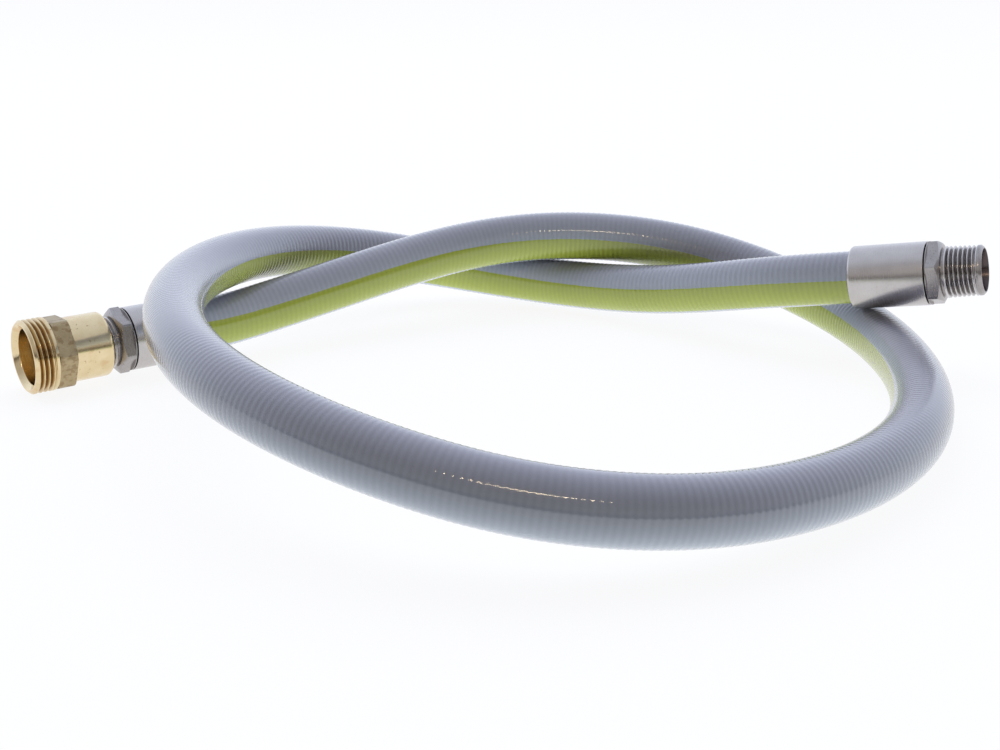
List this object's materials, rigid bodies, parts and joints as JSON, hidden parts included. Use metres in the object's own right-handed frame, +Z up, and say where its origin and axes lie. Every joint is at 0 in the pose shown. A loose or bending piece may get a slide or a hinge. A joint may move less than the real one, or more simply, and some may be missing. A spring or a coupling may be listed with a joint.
{
  "type": "stainless steel flexible gas hose",
  "caption": "Flexible corrugated steel gas hose in a grey plastic jacket with a green stripe, tied in a loose knot, with screwed nipples and a brass thread adapter.",
  "frame": {"origin": "on the surface that the hose lies on, midway between the outermost points of the two fittings, without the hose itself", "axes": "+Z up; -X along the left fitting's axis, out of the brass adapter; +Y towards the far side of the knot"},
  "size_m": [0.3298, 0.3287, 0.056],
  "materials": {
    "jacket": "ribbed extruded plastic, grey with a yellow-green stripe, half gloss",
    "tube": "bright corrugated stainless steel",
    "ferrule": "satin drawn stainless steel",
    "seal": "matt black rubber",
    "nipple": "turned stainless steel",
    "adapter": "turned brass, with a rough stamped hexagon"
  },
  "bodies": {
    "root": {"hose_jacket": "jacket", "corrugated_tube": "tube", "left_ferrule": "ferrule", "right_ferrule": "ferrule", "left_seal_ring": "seal", "right_seal_ring": "seal", "left_nipple": "nipple", "right_nipple": "nipple", "brass_adapter": "adapter"}
  },
  "joints": []
}
